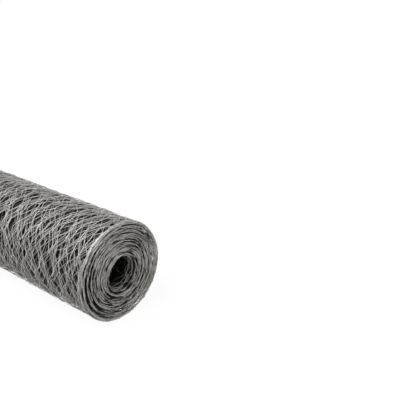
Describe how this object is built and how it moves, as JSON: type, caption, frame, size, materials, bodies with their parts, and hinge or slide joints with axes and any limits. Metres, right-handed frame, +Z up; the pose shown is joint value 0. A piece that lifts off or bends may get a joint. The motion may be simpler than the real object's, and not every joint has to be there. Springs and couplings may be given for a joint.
{
  "type": "chicken wire roll",
  "caption": "Roll of galvanised hexagonal wire netting, wound on itself with an open bore through its middle, lying on its side.",
  "frame": {"origin": "on the floor, under the middle of the roll as it lies on its side", "axes": "+X along the roll's own axis, +Z up from the floor, +Y to the roll's far side"},
  "size_m": [0.9, 0.25, 0.25],
  "materials": {
    "galvanised_wire": "dull hot-dip zinc on drawn steel wire, seen through many layers of open mesh"
  },
  "bodies": {
    "root": {"netting_roll": "galvanised_wire"}
  },
  "joints": []
}
